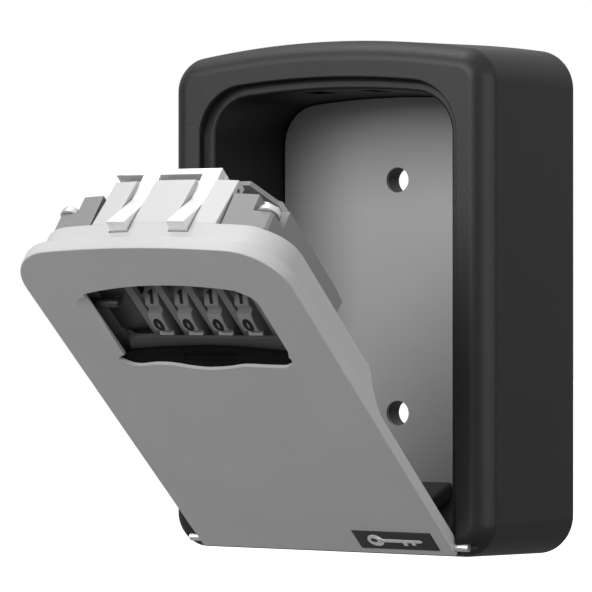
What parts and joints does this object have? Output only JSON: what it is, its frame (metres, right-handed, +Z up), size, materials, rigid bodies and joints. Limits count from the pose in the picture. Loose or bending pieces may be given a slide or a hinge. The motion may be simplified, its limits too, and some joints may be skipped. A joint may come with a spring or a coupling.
{
  "type": "key lock box",
  "caption": "Wall-mounted key lock box with an arched case and a drop-down door that carries a number-wheel lock, sliding shutter and spring latch.",
  "frame": {"origin": "middle of the flat wall side of the case", "axes": "+Z up, +Y out of the wall side into the wall, so the box faces -Y; +X to the right for someone facing the box. The rest pose has the door dropped open by 50.348 degrees"},
  "size_m": [0.0896, 0.1249, 0.1235],
  "materials": {
    "case_black": "matt charcoal powder coat on a zinc casting",
    "door_grey": "satin grey paint on a zinc casting",
    "housing_grey": "satin grey paint on a zinc casting",
    "plate_grey": "satin light grey",
    "zinc_bright": "bright zinc plate on steel",
    "steel_bright": "bright steel",
    "plastic_black": "moulded black plastic",
    "frame_dark": "moulded dark grey plastic",
    "dial_grey": "moulded mid grey plastic wheels"
  },
  "bodies": {
    "case": {"case_body": "case_black", "back_plate": "plate_grey", "key_ramp": "frame_dark", "back_plate_screw_1": "steel_bright", "back_plate_screw_2": "steel_bright", "hinge_pin_left": "steel_bright", "hinge_pin_right": "steel_bright"},
    "door": {"door_shell": "door_grey", "label_badge": "plastic_black", "lock_housing": "housing_grey", "housing_screw_top_left": "steel_bright", "housing_screw_top_right": "steel_bright", "housing_screw_low_left": "steel_bright", "housing_screw_low_right": "steel_bright", "dial_frame": "frame_dark", "shutter_guide": "plastic_black", "dial_shaft": "steel_bright", "shaft_clip": "steel_bright", "detent_spring": "steel_bright", "rear_cover": "housing_grey", "cover_screw_1": "steel_bright", "cover_screw_2": "steel_bright", "latch_spring_1": "steel_bright", "latch_spring_2": "steel_bright"},
    "dial_1": {"dial_1": "dial_grey", "dial_cam_1": "zinc_bright"},
    "dial_2": {"dial_2": "dial_grey", "dial_cam_2": "zinc_bright"},
    "dial_3": {"dial_3": "dial_grey", "dial_cam_3": "zinc_bright"},
    "dial_4": {"dial_4": "dial_grey", "dial_cam_4": "zinc_bright"},
    "latch": {"latch_plate": "zinc_bright", "release_lever": "plastic_black", "lever_screw": "steel_bright"},
    "shutter": {"shutter": "plastic_black"},
    "code": {"code_slider": "plastic_black"}
  },
  "joints": [
    {"name": "door_hinge", "type": "hinge", "parent": "case", "child": "door", "pos_m": [0, -0.04058, -0.05758], "axis": [1, 0, 0], "range_deg": [-50.35, 0]},
    {"name": "latch_slide", "type": "slide", "parent": "door", "child": "latch", "axis": [0, 0.7699, -0.6381], "range_m": [0, 0.0035], "stiffness_N_per_m": 400, "springref_m": -0.003, "deforming": ["latch_spring_1", "latch_spring_2"]},
    {"name": "shutter_slide", "type": "slide", "parent": "door", "child": "shutter", "axis": [0, -0.7699, 0.6381], "range_m": [0, 0.0205]},
    {"name": "dial_1_spin", "type": "hinge", "parent": "door", "child": "dial_1", "pos_m": [-0.00812, -0.09284, 0.00175], "axis": [1, 0, 0], "continuous": true},
    {"name": "dial_2_spin", "type": "hinge", "parent": "door", "child": "dial_2", "pos_m": [-0.00045, -0.09284, 0.00175], "axis": [1, 0, 0], "continuous": true},
    {"name": "dial_3_spin", "type": "hinge", "parent": "door", "child": "dial_3", "pos_m": [0.00722, -0.09284, 0.00175], "axis": [1, 0, 0], "continuous": true},
    {"name": "dial_4_spin", "type": "hinge", "parent": "door", "child": "dial_4", "pos_m": [0.01489, -0.09284, 0.00175], "axis": [1, 0, 0], "continuous": true},
    {"name": "code_slide", "type": "slide", "parent": "door", "child": "code", "axis": [1, 0, 0], "range_m": [0, 0.004]}
  ]
}
